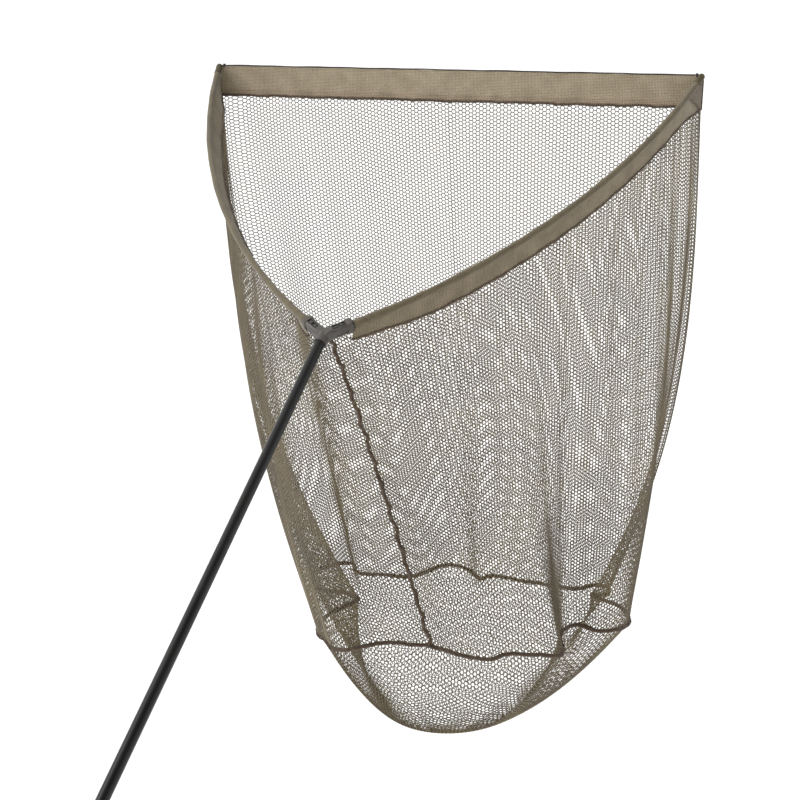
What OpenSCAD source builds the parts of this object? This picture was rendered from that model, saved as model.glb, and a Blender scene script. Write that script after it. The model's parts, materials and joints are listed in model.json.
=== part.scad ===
// Carp landing net, held by its handle with the bag hanging.
// Z is true up. The handle runs down and back along -Y from the origin, which is
// the centre of its top face. The head lies in a plane that climbs towards +Y.

/* [Head] */
// Length of each arm, along its curve, from the middle of the spreader block
arm_length = 1070; // [880:10:1300]
// Angle between the handle's axis and each arm's socket
socket_angle = 52; // [44:1:58]
// How far each arm is bent inwards over its length by the cord
arm_bend = 41; // [32:1:48]
// Slope of the head and the handle, as the net is held
hold_tilt = 31; // [22:1:38]
// Diameter of each arm
arm_d = 9; // [7:0.5:11]
// Wall of the cloth sleeve around each arm
sleeve_wall = 1.1; // [0.8:0.1:1.6]
// Diameter of the cord between the tips
cord_d = 3; // [2:0.5:4]

/* [Spreader block] */
// Length of each socket from the middle of the block
socket_length = 60; // [50:1:80]
// Width of each socket across the head
socket_w = 22; // [20:1:28]
// Height of each socket
socket_h = 23; // [20:1:28]
// Diameter of the ferrule that plugs into a socket
ferrule_d = 12; // [11.5:0.5:14]
// Diameter of the round neck that meets the handle
neck_d = 26; // [24:1:34]
// Distance from the handle's top face to the middle of the block
neck_length = 24; // [20:1:40]
// Diameter of the stud that screws into the handle
stud_d = 9.4; // [8:0.1:10]
// Length of the stud inside the handle
stud_reach = 16; // [14:1:24]

/* [Handle] */
// Length of the handle's tube
handle_length = 1800; // [1200:10:2000]
// Outer diameter of the handle's tube
handle_d = 21; // [18:0.5:28]
// Wall of the handle's tube
handle_wall = 1.5; // [1:0.1:2.5]
// Length of the foam grip at the butt
grip_length = 320; // [150:10:500]
// Wall of the foam grip
grip_wall = 3; // [2:0.5:6]
// Thickness of the rubber washer between handle and block
washer_t = 2.5; // [1.5:0.1:4]

/* [Bag] */
// Drop of the close mesh band under each arm
side_band = 45; // [30:1:70]
// Drop of the close mesh band under the cord
front_band = 68; // [50:1:100]
// Thickness of a band, a wall or the base of the bag
cloth_t = 1.2; // [1:0.1:2]
// Diameter of the bound edge under a band
binding_d = 6; // [4:0.5:9]
// Depth from the origin to the ring seam of the base
ring_depth = 700; // [500:10:900]
// Half width of the base's ring seam, from side to side
ring_rx = 375; // [250:5:420]
// Half length of the base's ring seam, from back to front
ring_ry = 285; // [200:5:330]
// Centre of the ring seam, as a distance in front of the origin
ring_y = 475; // [400:5:540]
// Sideways swing of the hanging bag
bag_lean = 100; // [0:5:120]
// Depth of the base below its ring seam
base_depth = 272; // [150:5:320]

/* [Hidden] */
$fn = 48;

// Sides of the head: -1 is left, 1 is right
left = -1;
right = 1;

// Clearances
running_gap = 0.05;     // sliding and turning fits
seat_gap = 0.1;         // a collar against its seat
cloth_gap = 1;          // between soft pieces that move apart
eps = 0.01;             // cuts run this far past a face

// Arms
collar_l = 5;
root_d = arm_d - 0.6;   // the arm's end is turned down to fit its ferrule
root_lap = 4;
straight_l = socket_length + collar_l + 1;
arm_radius = (arm_length - straight_l) / (arm_bend * PI / 180);
arm_centre = [straight_l * sin(socket_angle) - arm_radius * cos(socket_angle),
    neck_length + straight_l * cos(socket_angle) + arm_radius * sin(socket_angle)];
tip_heading = socket_angle - arm_bend;
cap_l = 34;
cap_wall = 2.3;
cap_d = arm_d + 2 * cap_wall;
sleeve_d = arm_d + 2 * sleeve_wall;
sleeve_start = straight_l + 4;
sleeve_end = arm_length - cap_l + 4;
knot_d = 3 * cord_d;
// The tip's direction seen from above, and its rise along that direction
tip_plan = atan2(sin(tip_heading), cos(tip_heading) * cos(hold_tilt));
tip_rise = cos(tip_heading) * sin(hold_tilt)
    / norm([sin(tip_heading), cos(tip_heading) * cos(hold_tilt)]);
patch_l = 78;
patch_top = sleeve_d / 2 + 7;
binding_end = arm_length - 36;   // the patch's point covers the rest

// Bag
binding_drop = side_band + binding_d / 2;
side_wall_drop = side_band + binding_d + cloth_gap / cos(hold_tilt) + 1;
front_binding_drop = front_band + binding_d / 2;
front_wall_drop = front_band + binding_d + cloth_gap;
band_top = (cap_d / 2 + cloth_gap) / cos(hold_tilt);
seam_d = 7;
fold_gap = 1.5;         // between the flat panels that stand for the hanging net
pull_in = 1.6;          // how late the walls draw in to the ring seam

// Handle
ring_l = 6;
ring_proud = 0.8;
groove = 0.5;
butt_l = 6;
chamfer = 1.5;

function arm_turn(l) = max(0, l - straight_l) / arm_radius * 180 / PI;
function arm_heading(l) = socket_angle - arm_turn(l);
// Point on the right arm's centre line, in the plane of the head
function arm_point(l) = l <= straight_l
    ? [l * sin(socket_angle), neck_length + l * cos(socket_angle)]
    : arm_centre + arm_radius * [cos(arm_heading(l)), -sin(arm_heading(l))];
function hold(p) = [p.x, p.y * cos(hold_tilt) - p.z * sin(hold_tilt),
    p.y * sin(hold_tilt) + p.z * cos(hold_tilt)];
// Point under an arm, straight down by a drop
function under_arm(side, l, drop) = let (p = arm_point(l))
    hold([side * p.x, p.y, 0]) - [0, 0, drop];
tip = hold([arm_point(arm_length).x, arm_point(arm_length).y, 0]);
front_x = tip.x - cap_d / 2 - 1;

function ring_point(a) = [bag_lean + ring_rx * cos(a), ring_y + ring_ry * sin(a), -ring_depth];
function draw_in(top, foot, v) = let (k = pow(v, pull_in))
    [top.x + (foot.x - top.x) * k, top.y + (foot.y - top.y) * k, top.z + (foot.z - top.z) * v];
// The walls of the bag: s runs around the rim, v from the rim down to the ring seam
function side_wall(side, s, v) =
    draw_in(under_arm(side, s * arm_length, side_wall_drop), ring_point(-90 + side * 135 * s), v);
function front_wall(s, v) = draw_in([tip.x * (2 * s - 1), tip.y, tip.z - front_wall_drop],
    ring_point(135 - 90 * s), v);
function base_point(a, r) = let (p = ring_point(a))
    [bag_lean + (p.x - bag_lean) * r, ring_y + (p.y - ring_y) * r,
        -ring_depth - base_depth * (1 - pow(r, 2.4))];

function unit(v) = v / norm(v);

// A thin solid around the surface f(u, v)
module sheet(f, u0, u1, v0, v1, nu, nv, t = cloth_t) {
    du = (u1 - u0) / nu;
    dv = (v1 - v0) / nv;
    step = 0.01;
    grid = [for (i = [0:nu], j = [0:nv]) let (u = u0 + i * du, v = v0 + j * dv)
        [f(u, v), unit(cross(f(u + step * du, v) - f(u - step * du, v),
            f(u, v + step * dv) - f(u, v - step * dv)))]];
    n = len(grid);
    points = [for (k = [1, -1], g = grid) g[0] + k * t / 2 * g[1]];
    function at(i, j) = i * (nv + 1) + j;
    skin = [for (i = [0:nu - 1], j = [0:nv - 1])
        each [[at(i, j), at(i, j + 1), at(i + 1, j + 1)], [at(i, j), at(i + 1, j + 1), at(i + 1, j)]]];
    edge = [for (i = [0:nu]) at(i, 0), for (j = [1:nv]) at(nu, j),
        for (i = [nu - 1:-1:0]) at(i, nv), for (j = [nv - 1:-1:1]) at(0, j)];
    m = len(edge);
    rim = [for (k = [0:m - 1]) let (a = edge[k], b = edge[(k + 1) % m])
        each [[a, b, b + n], [a, b + n, a + n]]];
    polyhedron(points, concat(skin, [for (q = skin) [q[2] + n, q[1] + n, q[0] + n]], rim), convexity = 6);
}

// A row of panels around the surface, fold_gap apart, cut into rows from top to bottom
module panels(f, u0, u1, columns, rows, u_length, v_length, nu = 4, nv = 4) {
    gu = fold_gap / u_length / 2;
    gv = fold_gap / v_length / 2;
    for (c = [0:columns - 1], r = [0:rows - 1])
        sheet(f, u0 + (u1 - u0) * c / columns + gu, u0 + (u1 - u0) * (c + 1) / columns - gu,
            r / rows + gv, (r + 1) / rows - gv - (r == rows - 1 ? seam_d / v_length : 0), nu, nv);
}

// A round tube of eight sides along a path
module sweep(path, d, closed = false, sides = 8) {
    n = len(path);
    function ahead(i) = closed ? path[(i + 1) % n] : path[min(i + 1, n - 1)];
    function behind(i) = closed ? path[(i + n - 1) % n] : path[max(i - 1, 0)];
    points = [for (i = [0:n - 1]) let (t = unit(ahead(i) - behind(i)),
        side = unit(cross(t, abs(t.z) > 0.9 ? [0, 1, 0] : [0, 0, 1])), up = cross(side, t))
        for (k = [0:sides - 1]) path[i] + d / 2 * (side * cos(360 * k / sides) + up * sin(360 * k / sides))];
    last = closed ? n - 1 : n - 2;
    tube = [for (i = [0:last], k = [0:sides - 1]) let (a = i * sides + k,
        b = i * sides + (k + 1) % sides, c = ((i + 1) % n) * sides + k,
        e = ((i + 1) % n) * sides + (k + 1) % sides) each [[a, b, e], [a, e, c]]];
    ends = closed ? [] : [[for (k = [sides - 1:-1:0]) k], [for (k = [0:sides - 1]) (n - 1) * sides + k]];
    polyhedron(points, concat(tube, ends), convexity = 6);
}

// Places what is drawn in the head's plane, with the origin on the handle's top face
module held() rotate([hold_tilt, 0, 0]) children();
module on_side(side) mirror([side < 0 ? 1 : 0, 0, 0]) children();
// Puts +Z along the arm at a length from the middle of the block
module at_arm(l) translate([arm_point(l).x, arm_point(l).y, 0])
    rotate([0, 0, -arm_heading(l)]) rotate([-90, 0, 0]) children();
// Puts +Z along the handle, towards the butt
module along_handle() rotate([90, 0, 0]) children();

// A ring section swept along the arm's curve
module arm_arc(l0, l1, d_out, d_in = 0) translate(arm_centre)
    rotate([0, 0, -arm_heading(l0)]) rotate_extrude(angle = arm_turn(l1) - arm_turn(l0), $fn = 240)
        translate([arm_radius, 0]) difference() {
            circle(d = d_out);
            if (d_in > 0) circle(d = d_in);
        }

module rounded_rect(w, h, r) {
    square([w - 2 * r, h], center = true);
    square([w, h - 2 * r], center = true);
    for (x = [-1, 1], y = [-1, 1]) translate([x * (w / 2 - r), y * (h / 2 - r)]) circle(r);
}

// --- Head ---

module spreader_block() color("dimgray") held() difference() {
    union() {
        translate([0, neck_length, 0]) {
            cylinder(d = neck_d, h = socket_h - 2 * chamfer, center = true);
            for (k = [-1, 1]) mirror([0, 0, k < 0 ? 1 : 0])
                translate([0, 0, socket_h / 2 - chamfer])
                    cylinder(d1 = neck_d, d2 = neck_d - 2 * chamfer, h = chamfer);
        }
        for (side = [left, right]) on_side(side) at_arm(0)
            linear_extrude(socket_length) rounded_rect(socket_w, socket_h, 6);
        translate([0, neck_length, 0]) along_handle() {
            cylinder(d = neck_d, h = neck_length - washer_t - 2 * running_gap - chamfer);
            translate([0, 0, neck_length - washer_t - 2 * running_gap - chamfer])
                cylinder(d1 = neck_d, d2 = neck_d - 2 * chamfer, h = chamfer);
        }
    }
    // Sockets
    for (side = [left, right]) on_side(side) at_arm(socket_length - 40)
        cylinder(d = ferrule_d + 2 * running_gap, h = 40 + eps);
    // Seat of the stud
    translate([0, neck_length - 6, 0]) along_handle() cylinder(d = stud_d, h = neck_length);
    // Moulded recesses in the top and bottom of each socket
    for (side = [left, right], k = [-1, 1], l = [22, 41]) on_side(side) at_arm(l)
        translate([0, k * socket_h / 2, 7]) cube([8, 2.4, 13], center = true);
    // Slots along the outer flank of each socket
    for (side = [left, right], l = [24, 42]) on_side(side) at_arm(l)
        translate([socket_w / 2, 0, 6]) cube([2, 9, 12], center = true);
}

module threaded_stud() color("silver") held() translate([0, neck_length - 6, 0]) along_handle()
    cylinder(d = stud_d, h = neck_length - 6 + stud_reach);

module sleeve_tie(side) color([0.42, 0.38, 0.29]) held() on_side(side) at_arm(socket_length - 12)
    linear_extrude(9) difference() {
        rounded_rect(socket_w + 2.4, socket_h + 2.4, 7);
        rounded_rect(socket_w, socket_h, 6);
    }

module side_net(side) color([0.72, 0.68, 0.6])
    panels(function(s, v) side_wall(side, s, v), 16 / arm_length, 1 - cloth_t / arm_length, 5, 3,
        arm_length, ring_depth);

module net_wall_front() color([0.72, 0.68, 0.6])
    panels(function(s, v) front_wall(s, v), 0, 1, 3, 3, 2 * tip.x, ring_depth);

module net_base() color([0.68, 0.64, 0.55]) {
    rings = [0.12, 0.5, 0.8, 1];
    sectors = 10;
    gap = fold_gap / ring_ry;
    for (r = [0:2], k = [0:sectors - 1])
        sheet(function(a, r) base_point(a, r), k * 360 / sectors + 0.4, (k + 1) * 360 / sectors - 0.4,
            rings[r] + gap, rings[r + 1] - (r == 2 ? seam_d / ring_ry : gap), 3, 3);
    translate([bag_lean, ring_y, -ring_depth - base_depth])
        cylinder(r = rings[0] * ring_ry, h = cloth_t);
}

module spine_seam() color([0.24, 0.19, 0.14])
    sweep([for (k = [0:24]) side_wall(right, 0, (k + 0.4) / 24.6)], seam_d);

module base_ring_seam() color([0.24, 0.19, 0.14])
    sweep([for (k = [0:59]) ring_point(6 * k)], seam_d, closed = true);

module front_band() color([0.58, 0.53, 0.44])
    translate([-front_x, tip.y - cloth_t / 2, tip.z - front_band])
        cube([2 * front_x, cloth_t, front_band - knot_d / 2 - cloth_gap]);

module front_binding() color([0.24, 0.19, 0.14])
    translate([-front_x, tip.y, tip.z - front_binding_drop]) rotate([0, 90, 0])
        cylinder(d = binding_d, h = 2 * front_x);

module tension_cord() color([0.2, 0.17, 0.12])
    translate([-front_x + knot_d, tip.y, tip.z]) rotate([0, 90, 0])
        cylinder(d = cord_d, h = 2 * (front_x - knot_d));

// --- Arms ---

module arm(side) color([0.13, 0.13, 0.14]) held() on_side(side) {
    at_arm(socket_length - 36) cylinder(d = root_d, h = straight_l - socket_length + 36 + root_lap);
    arm_arc(straight_l, arm_length - 4, arm_d);
}

module arm_ferrule(side) color([0.3, 0.3, 0.31]) held() on_side(side) at_arm(socket_length - 38)
    difference() {
        union() {
            cylinder(d = ferrule_d, h = 38 + seat_gap + eps);
            translate([0, 0, 38 + seat_gap]) cylinder(d = ferrule_d + 4, h = collar_l);
        }
        translate([0, 0, 2]) cylinder(d = root_d, h = 38 + collar_l);
    }

module sleeve(side) color([0.45, 0.41, 0.33]) held() on_side(side)
    arm_arc(sleeve_start, sleeve_end - 12, sleeve_d, arm_d);

module side_band(side) color([0.58, 0.53, 0.44]) {
    parts = 4;
    l0 = sleeve_start + 4;
    span = (arm_length - cap_d - l0) / parts;
    for (k = [0:parts - 1])
        sheet(function(l, d) under_arm(side, l, d), l0 + k * span + fold_gap / 2,
            l0 + (k + 1) * span - fold_gap / 2, band_top, side_band - 0.4, 6, 1);
}

module side_binding(side) color([0.24, 0.19, 0.14]) translate([0, 0, -binding_drop]) held()
    on_side(side) arm_arc(sleeve_start + 4, binding_end, binding_d);

module tip_cap(side) color([0.3, 0.28, 0.22]) held() on_side(side) at_arm(arm_length - cap_l)
    difference() {
        union() {
            cylinder(d = cap_d, h = cap_l - cap_d / 2);
            translate([0, 0, cap_l - cap_d / 2]) sphere(d = cap_d);
        }
        translate([0, 0, -eps]) cylinder(d = arm_d + 1, h = cap_l - 4 + 0.3);
    }

module corner_patch(side) color([0.4, 0.37, 0.27]) on_side(side)
    translate([tip.x + cap_wall, tip.y, tip.z]) rotate([0, 0, -tip_plan])
        rotate([90, 0, 90]) linear_extrude(cloth_t) polygon([
            [-cap_wall, -patch_top - cap_wall * tip_rise], [-cap_wall, -front_band],
            [-patch_l, -patch_top - patch_l * tip_rise]]);

module cord_knot(side) color([0.2, 0.17, 0.12]) on_side(side)
    translate([front_x - knot_d / 2 + 0.4, tip.y, tip.z]) sphere(d = knot_d);

// --- Handle ---

module lock_washer() color([0.1, 0.1, 0.1]) held() translate([0, running_gap + washer_t, 0])
    along_handle() difference() {
        cylinder(d = handle_d + 1, h = washer_t);
        translate([0, 0, -eps]) cylinder(d = stud_d + 0.4, h = washer_t + 2 * eps);
    }

module handle_tube() color([0.16, 0.17, 0.17]) held() along_handle() difference() {
    cylinder(d = handle_d, h = handle_length);
    translate([0, 0, -eps]) cylinder(d = handle_d - 2 * handle_wall, h = handle_length + 2 * eps);
    translate([0, 0, handle_length - grip_length - ring_l]) difference() {
        cylinder(d = handle_d + 2, h = ring_l);
        translate([0, 0, -eps]) cylinder(d = handle_d - 2 * groove, h = ring_l + 2 * eps);
    }
}

module thread_insert() color([0.55, 0.55, 0.57]) held() along_handle() difference() {
    cylinder(d = handle_d - 2 * handle_wall, h = stud_reach + 10);
    translate([0, 0, -eps]) cylinder(d = stud_d + 2 * running_gap, h = stud_reach + 4);
}

module grip() color([0.11, 0.11, 0.11]) held() along_handle()
    translate([0, 0, handle_length - grip_length]) difference() {
        union() {
            cylinder(d1 = handle_d + 2 * grip_wall - 2 * chamfer, d2 = handle_d + 2 * grip_wall, h = chamfer);
            translate([0, 0, chamfer])
                cylinder(d = handle_d + 2 * grip_wall, h = grip_length - 2 * chamfer);
            translate([0, 0, grip_length - chamfer])
                cylinder(d1 = handle_d + 2 * grip_wall, d2 = handle_d + 2 * grip_wall - 2 * chamfer, h = chamfer);
        }
        translate([0, 0, -eps]) cylinder(d = handle_d, h = grip_length + 2 * eps);
    }

module grip_ring() color([0.6, 0.6, 0.62]) held() along_handle()
    translate([0, 0, handle_length - grip_length - ring_l]) difference() {
        cylinder(d = handle_d + 2 * ring_proud, h = ring_l);
        translate([0, 0, -eps]) cylinder(d = handle_d - 2 * groove, h = ring_l + 2 * eps);
    }

module butt_cap() color([0.2, 0.2, 0.21]) held() along_handle() {
    translate([0, 0, handle_length - 22]) cylinder(d = handle_d - 2 * handle_wall, h = 22);
    translate([0, 0, handle_length]) cylinder(d = handle_d + 2 * grip_wall, h = butt_l - chamfer);
    translate([0, 0, handle_length + butt_l - chamfer])
        cylinder(d1 = handle_d + 2 * grip_wall, d2 = handle_d + 2 * grip_wall - 2 * chamfer, h = chamfer);
}

spreader_block();
threaded_stud();
sleeve_tie(left);  // sleeve_tie_left
sleeve_tie(right);  // sleeve_tie_right
side_net(left);  // net_wall_left
side_net(right);  // net_wall_right
net_wall_front();
net_base();
spine_seam();
base_ring_seam();
front_band();
front_binding();
tension_cord();
arm(left);  // arm_left
arm_ferrule(left);  // arm_ferrule_left
sleeve(left);  // sleeve_left
side_band(left);  // side_band_left
side_binding(left);  // side_binding_left
tip_cap(left);  // tip_cap_left
corner_patch(left);  // corner_patch_left
cord_knot(left);  // cord_knot_left
arm(right);  // arm_right
arm_ferrule(right);  // arm_ferrule_right
sleeve(right);  // sleeve_right
side_band(right);  // side_band_right
side_binding(right);  // side_binding_right
tip_cap(right);  // tip_cap_right
corner_patch(right);  // corner_patch_right
cord_knot(right);  // cord_knot_right
lock_washer();
handle_tube();
thread_insert();
grip();
grip_ring();
butt_cap();
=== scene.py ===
# %% [markdown]
# # A landing net, held by its handle with the bag hanging
#
# The CAD frame gives every hard piece its true place: the moulded block, the bowed arms, the
# handle. Everything that is cloth on the real net is plain in the frame, and this lesson makes
# it again as cloth: sleeves, close-woven bands, bound seams, and a bag of real knitted mesh whose
# every strand is geometry. The pieces of a landing net hang from one another, so the order below
# is the order in which they are sewn: camera, rim curves, bag, seams, bands, small parts.

# %% Load the frame
import json
import math

import bmesh
import bpy
import numpy as np
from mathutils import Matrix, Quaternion, Vector


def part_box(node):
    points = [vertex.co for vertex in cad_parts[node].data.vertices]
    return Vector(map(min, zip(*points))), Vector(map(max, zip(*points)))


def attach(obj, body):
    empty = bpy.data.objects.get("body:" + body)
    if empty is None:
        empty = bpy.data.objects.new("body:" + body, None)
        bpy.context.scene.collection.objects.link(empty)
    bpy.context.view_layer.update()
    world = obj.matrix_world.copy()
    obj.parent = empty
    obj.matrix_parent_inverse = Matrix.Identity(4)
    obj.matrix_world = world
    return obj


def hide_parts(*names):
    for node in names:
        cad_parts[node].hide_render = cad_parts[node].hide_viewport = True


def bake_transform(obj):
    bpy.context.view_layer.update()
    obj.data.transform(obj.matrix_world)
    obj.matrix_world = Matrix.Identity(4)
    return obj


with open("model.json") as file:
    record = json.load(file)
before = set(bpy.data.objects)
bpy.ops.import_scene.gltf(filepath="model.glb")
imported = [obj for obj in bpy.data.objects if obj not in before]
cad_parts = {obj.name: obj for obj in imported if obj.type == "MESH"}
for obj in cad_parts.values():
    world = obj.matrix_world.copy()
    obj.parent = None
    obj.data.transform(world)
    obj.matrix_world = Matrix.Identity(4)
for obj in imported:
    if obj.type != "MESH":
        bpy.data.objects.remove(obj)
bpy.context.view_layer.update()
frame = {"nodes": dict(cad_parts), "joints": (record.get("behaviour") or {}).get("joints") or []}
nodes = frame["nodes"]
MM = 0.001

# %% [markdown]
# ## Camera
#
# A long lens from about three and a half metres keeps the far end of the rim almost as large as the
# near end. The camera aims at a point just under the block, and the handle runs out of its view at
# the lower left corner. A separate program fitted its place, lens and aim to one view of a net;
# the roll and the shift were adjusted afterwards.

# %% Camera
LENS = 82.64                              # focal length on a 36 mm wide sensor
CAMERA_PLACE = (1.3255, -3.1508, 0.7478)
AIM_POINT = (0.1462, 0.0538, -0.1096)
ROLL = math.radians(-0.25)                # the camera is held a quarter of a degree off level
SHIFT = -0.0018

camera_data = bpy.data.cameras.new("camera")
camera_data.lens = LENS
camera_data.sensor_width = 36
camera = bpy.data.objects.new("camera", camera_data)
bpy.context.scene.collection.objects.link(camera)
camera.location = CAMERA_PLACE
aim = Vector(AIM_POINT) - camera.location
camera.rotation_euler = (aim.to_track_quat("-Z", "Y") @ Quaternion((0, 0, 1), ROLL)).to_euler()
camera.data.shift_x = SHIFT
bpy.context.scene.camera = camera
print(f"camera {aim.length:.2f} m from its aim")

# %% [markdown]
# ## The rim's curves
#
# Three facts fix each arm: the direction of its socket, the length of its straight root, and the
# place of its tip. An arc that leaves the root in line and ends at the tip is the arm's curve.
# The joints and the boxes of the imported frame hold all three, so nothing is measured twice.

# %% Rim curves
NECK = 24 * MM                 # from the handle's end to the point where the two arm lines meet
TIP_OVERHANG = 7.8 * MM        # from the front band's end out to the arm's tip
STRAIGHT = 66 * MM             # root of an arm, in its socket, before the bow starts

joints = {j["name"]: j for j in frame["joints"]}
handle_axis = Vector(joints["thread_turn"]["axis"])
socket_axis = Vector(joints["arm_pull_right"]["axis"])
across = Vector((1, 0, 0))
forward = -handle_axis
hub = forward * NECK
cord_low, cord_high = (np.array(p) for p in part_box("tension_cord"))
cord_middle = (cord_low + cord_high) / 2
tip = Vector((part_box("front_band")[1].x + TIP_OVERHANG, cord_middle[1], cord_middle[2]))
root_end = hub + socket_axis * STRAIGHT
inward = (forward - socket_axis * forward.dot(socket_axis)).normalized()
chord = tip - root_end
arm_radius = chord.length_squared / (2 * inward.dot(chord))
bend = 2 * math.asin(chord.length / 2 / arm_radius)
arm_length = STRAIGHT + bend * arm_radius


def arm_line(lengths, side=1):
    """Points of an arm's centre line at these lengths from the hub. side is 1 right, -1 left."""
    lengths = np.asarray(lengths, float)
    turn = np.clip(lengths - STRAIGHT, 0, None) / arm_radius
    straight = np.array(hub) + np.outer(np.minimum(lengths, STRAIGHT), socket_axis)
    bow = np.outer(np.sin(turn), socket_axis) + np.outer(1 - np.cos(turn), inward)
    points = straight + arm_radius * bow
    points[:, 0] *= side
    return points


def ease(t):
    """Smooth step from 0 to 1."""
    t = np.clip(t, 0, 1)
    return t * t * (3 - 2 * t)


SWING = 2                      # degrees that a band hangs inwards
LEFT_PULL = 38                 # degrees more in the middle of the left band


def band_fall(lengths, side):
    """Directions in which a band hangs. The leaning bag pulls the left band in under the mouth."""
    lengths = np.asarray(lengths, float)
    pulled = ease((lengths - 40 * MM) / (120 * MM)) * ease((arm_length - lengths) / (150 * MM))
    swing = np.radians(SWING + (LEFT_PULL if side < 0 else 0) * pulled)
    return np.stack([-side * np.sin(swing), 0 * swing, -np.cos(swing)], -1)


SIDE_DROP = 45 * MM            # depth of the band under an arm
TIP_DROP = 68 * MM             # depth of the front band
TAPER = 110 * MM               # length of arm over which one depth grows to the other


def band_drop(lengths):
    """Depth of the close band under an arm: it grows to the front band's depth at the tip."""
    return SIDE_DROP + (TIP_DROP - SIDE_DROP) * ease((lengths - arm_length + TAPER) / TAPER)


print(f"arm {arm_length:.3f} m, bent {math.degrees(bend):.0f} degrees, radius {arm_radius:.3f} m")

# %% [markdown]
# ## Helpers for meshes
#
# Cloth pieces are grids and tubes. Both helpers store a UV map in metres along the cloth, so
# that a weave keeps its scale and follows the piece when it moves. Functions for the two halves
# of the net take a side, 1 for right and -1 for left.

# %% Mesh helpers
LABEL = {1: "right", -1: "left"}


def new_object(name, points, faces, uvs=None, edges=()):
    """A mesh object at the origin; uvs is one (u, v) per point, in metres."""
    mesh = bpy.data.meshes.new(name)
    mesh.from_pydata([tuple(p) for p in points], [tuple(e) for e in edges], faces)
    if uvs is not None:
        layer = mesh.uv_layers.new(name="cloth")
        index = np.empty(len(mesh.loops), int)
        mesh.loops.foreach_get("vertex_index", index)
        layer.data.foreach_set("uv", np.asarray(uvs, np.float32)[index].ravel())
    mesh.update()
    obj = bpy.data.objects.new(name, mesh)
    bpy.context.scene.collection.objects.link(obj)
    return obj


def smooth(obj, material):
    """Smooth faces, with edges over fifty degrees kept sharp, and one material."""
    obj.data.polygons.foreach_set("use_smooth", [True] * len(obj.data.polygons))
    obj.data.set_sharp_from_angle(angle=math.radians(50))
    obj.data.materials.clear()
    obj.data.materials.append(material)
    return obj


def grid_faces(rows, columns, closed=False):
    """Quads over a grid of points stored row by row; closed joins the last row to the first."""
    faces = []
    for i in range(rows if closed else rows - 1):
        a, b = i * columns, (i + 1) % rows * columns
        faces += [(a + j, b + j, b + j + 1, a + j + 1) for j in range(columns - 1)]
    return faces


def lengths_along(points):
    """Length from the first point to each point of a path."""
    steps = np.linalg.norm(np.diff(points, axis=0), axis=1)
    return np.concatenate([[0], np.cumsum(steps)])


def frames_along(points, up=(0, 0, 1)):
    """Two unit vectors square to the path at each point; the second leans towards up."""
    tangent = np.gradient(points, axis=0)
    tangent /= np.linalg.norm(tangent, axis=1)[:, None]
    side = np.cross(tangent, np.asarray(up, float))
    side /= np.maximum(np.linalg.norm(side, axis=1), 1e-9)[:, None]
    return side, np.cross(side, tangent)


def tube(name, path, width, height, sides=10, twist=0.0, ridge=0.0, up=(0, 0, 1)):
    """A closed tube along a path with an oval section. width and height are numbers or one
    value per point; ridge raises two strands that turn twist times for each metre."""
    path = np.asarray(path, float)
    side, rise = frames_along(path, up)
    along = lengths_along(path)
    turn = np.linspace(0, 2 * np.pi, sides + 1)
    swell = 1 + ridge * np.cos(2 * (turn[None] + 2 * np.pi * twist * along[:, None]))
    half_w = (np.broadcast_to(width, len(path)) / 2)[:, None] * swell
    half_h = (np.broadcast_to(height, len(path)) / 2)[:, None] * swell
    ring = (side[:, None] * (np.cos(turn)[None] * half_w)[..., None]
            + rise[:, None] * (np.sin(turn)[None] * half_h)[..., None])
    points = (path[:, None] + ring).reshape(-1, 3)
    around = np.mean(half_w + half_h) * turn
    uvs = np.stack(np.meshgrid(along, around, indexing="ij"), -1).reshape(-1, 2)
    faces = grid_faces(len(path), sides + 1)
    caps = [tuple(range(sides)), tuple((len(path) - 1) * (sides + 1) + k for k in range(sides))[::-1]]
    obj = new_object(name, points, faces + caps, uvs)
    return tidy(obj)


def tidy(obj):
    """Joins doubled points of a closed shape and turns its faces outwards."""
    shape = bmesh.new()
    shape.from_mesh(obj.data)
    bmesh.ops.remove_doubles(shape, verts=shape.verts, dist=1e-6)
    bmesh.ops.recalc_face_normals(shape, faces=shape.faces)
    shape.to_mesh(obj.data)
    shape.free()
    return obj


def apply_modifiers(obj):
    """Turns the evaluated object into its plain mesh."""
    result = bpy.data.meshes.new_from_object(obj.evaluated_get(bpy.context.evaluated_depsgraph_get()))
    obj.modifiers.clear()
    obj.data = result
    return obj


def thicken(obj, thickness):
    """Gives an open sheet its cloth's thickness."""
    wall = obj.modifiers.new("thickness", "SOLIDIFY")
    wall.thickness = thickness
    wall.offset = 0
    return apply_modifiers(obj)


print("helpers ready")

# %% [markdown]
# ## Helpers for materials
#
# One function adds a shader node with its settings and its links. Colours are written as sRGB
# hex, as a paint chart gives them, and turned to the linear values that a shader needs.

# %% Material helpers
def linear(code):
    """'#rrggbb' in sRGB to a linear RGBA tuple."""
    values = [int(code[i:i + 2], 16) / 255 for i in (1, 3, 5)]
    curve = [v / 12.92 if v <= 0.04045 else ((v + 0.055) / 1.055) ** 2.4 for v in values]
    return (*curve, 1.0)


def add_node(tree, kind, settings=None, **inputs):
    """Adds a node. settings sets its properties; inputs are values, or sockets to link from.
    An input is named by its socket with spaces as underscores, or i0, i1 for its place."""
    node = tree.nodes.new(kind)
    for key, value in (settings or {}).items():
        setattr(node, key, value)
    for key, value in inputs.items():
        known = key[0] == "i" and key[1:].isdigit()
        socket = node.inputs[int(key[1:])] if known else node.inputs[key.replace("_", " ")]
        if isinstance(value, bpy.types.NodeSocket):
            tree.links.new(value, socket)
        else:
            socket.default_value = value
    return node


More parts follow.
